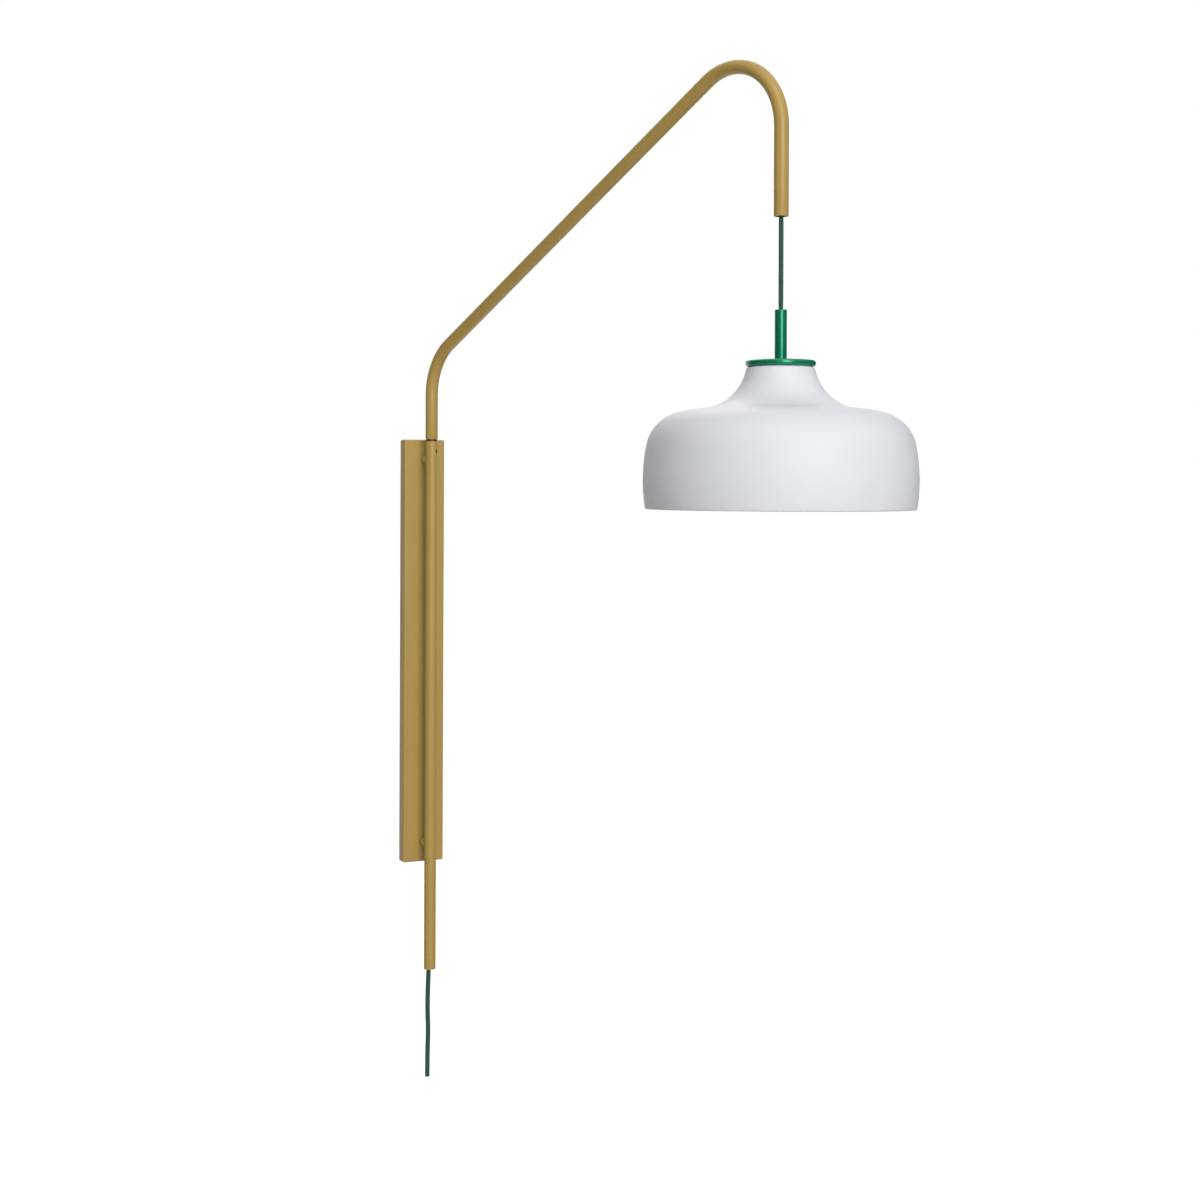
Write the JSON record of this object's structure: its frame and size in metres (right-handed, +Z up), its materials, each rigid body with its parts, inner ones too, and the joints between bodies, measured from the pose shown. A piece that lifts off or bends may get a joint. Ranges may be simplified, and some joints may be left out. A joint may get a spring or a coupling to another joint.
{
  "type": "gooseneck wall sconce",
  "caption": "Swivelling gooseneck wall lamp: slim wall plate with a pole on standoffs, a bent tube arm and an opal glass shade hanging on a textile cord.",
  "frame": {"origin": "middle of the wall rail's back face, on the wall", "axes": "+Z up along the plate, +Y into the wall, the lamp stands out towards -Y"},
  "size_m": [0.3831, 0.8374, 1.3381],
  "materials": {
    "ochre_paint": "ochre powder coat, satin",
    "green_paint": "green gloss paint",
    "zinc_steel": "bright zinc plate",
    "black_nylon": "moulded nylon",
    "moulded_plastic": "white moulded plastic",
    "green_textile_cord": "braided textile sleeve",
    "wire_insulation": "silicone insulation",
    "clear_silicone": "translucent silicone",
    "opal_glass": "opal white, fire polished",
    "white_ceramic": "glazed ceramic",
    "black_glass": "vitreous insulator",
    "brass": "bare brass",
    "nickel_brass": "nickel plated brass",
    "frosted_bulb_glass": "white frosted"
  },
  "bodies": {
    "base": {"wall_plate": "ochre_paint", "wall_rail": "zinc_steel", "cover_screws": "zinc_steel", "standoff_upper": "ochre_paint", "standoff_lower": "ochre_paint", "standoff_screws": "zinc_steel", "standoff_washers": "zinc_steel", "pole_tube": "ochre_paint", "pole_end_bush": "black_nylon", "swivel_bush_upper": "black_nylon", "swivel_bush_lower": "black_nylon", "friction_screw": "zinc_steel", "pole_cable": "green_textile_cord", "splice_connector": "moulded_plastic", "mains_lead": "green_textile_cord", "mains_lead_stop": "moulded_plastic", "mains_cord": "green_textile_cord"},
    "arm": {"swivel_spigot": "zinc_steel", "arm_tube": "ochre_paint", "arm_cable": "green_textile_cord", "arm_cable_stop": "moulded_plastic", "arm_end_bush": "black_nylon"},
    "cord": {"pendant_cord": "green_textile_cord"},
    "shade": {"stem_tube": "green_paint", "stem_cord_grip": "black_nylon", "stem_cable": "green_textile_cord", "stem_cable_stop": "moulded_plastic", "threaded_nipple": "zinc_steel", "shade_cap": "green_paint", "cap_gasket": "clear_silicone", "glass_shade": "opal_glass", "clamp_gasket": "clear_silicone", "clamp_plate": "zinc_steel", "clamp_washer": "zinc_steel", "clamp_nut": "zinc_steel", "lampholder_cap": "moulded_plastic", "lampholder_body": "moulded_plastic", "lampholder_insert": "white_ceramic", "lampholder_shell": "brass", "centre_contact": "brass", "core_wires": "wire_insulation", "bulb_base": "nickel_brass", "bulb_insulator": "black_glass", "bulb_globe": "frosted_bulb_glass"}
  },
  "joints": [
    {"name": "arm_swivel", "type": "hinge", "parent": "base", "child": "arm", "pos_m": [0, -0.046, 0.3], "axis": [0, 0, 1], "range_deg": [-92, 58]},
    {"name": "cord_swing", "type": "hinge", "parent": "arm", "child": "cord", "pos_m": [0.19474, -0.67902, 0.5525], "axis": [0.9558, 0.294, 0], "range_deg": [-25, 25]},
    {"name": "shade_tilt", "type": "hinge", "parent": "cord", "child": "shade", "pos_m": [0.19474, -0.67902, 0.438], "axis": [0.294, -0.9558, 0], "range_deg": [-25, 25]}
  ]
}
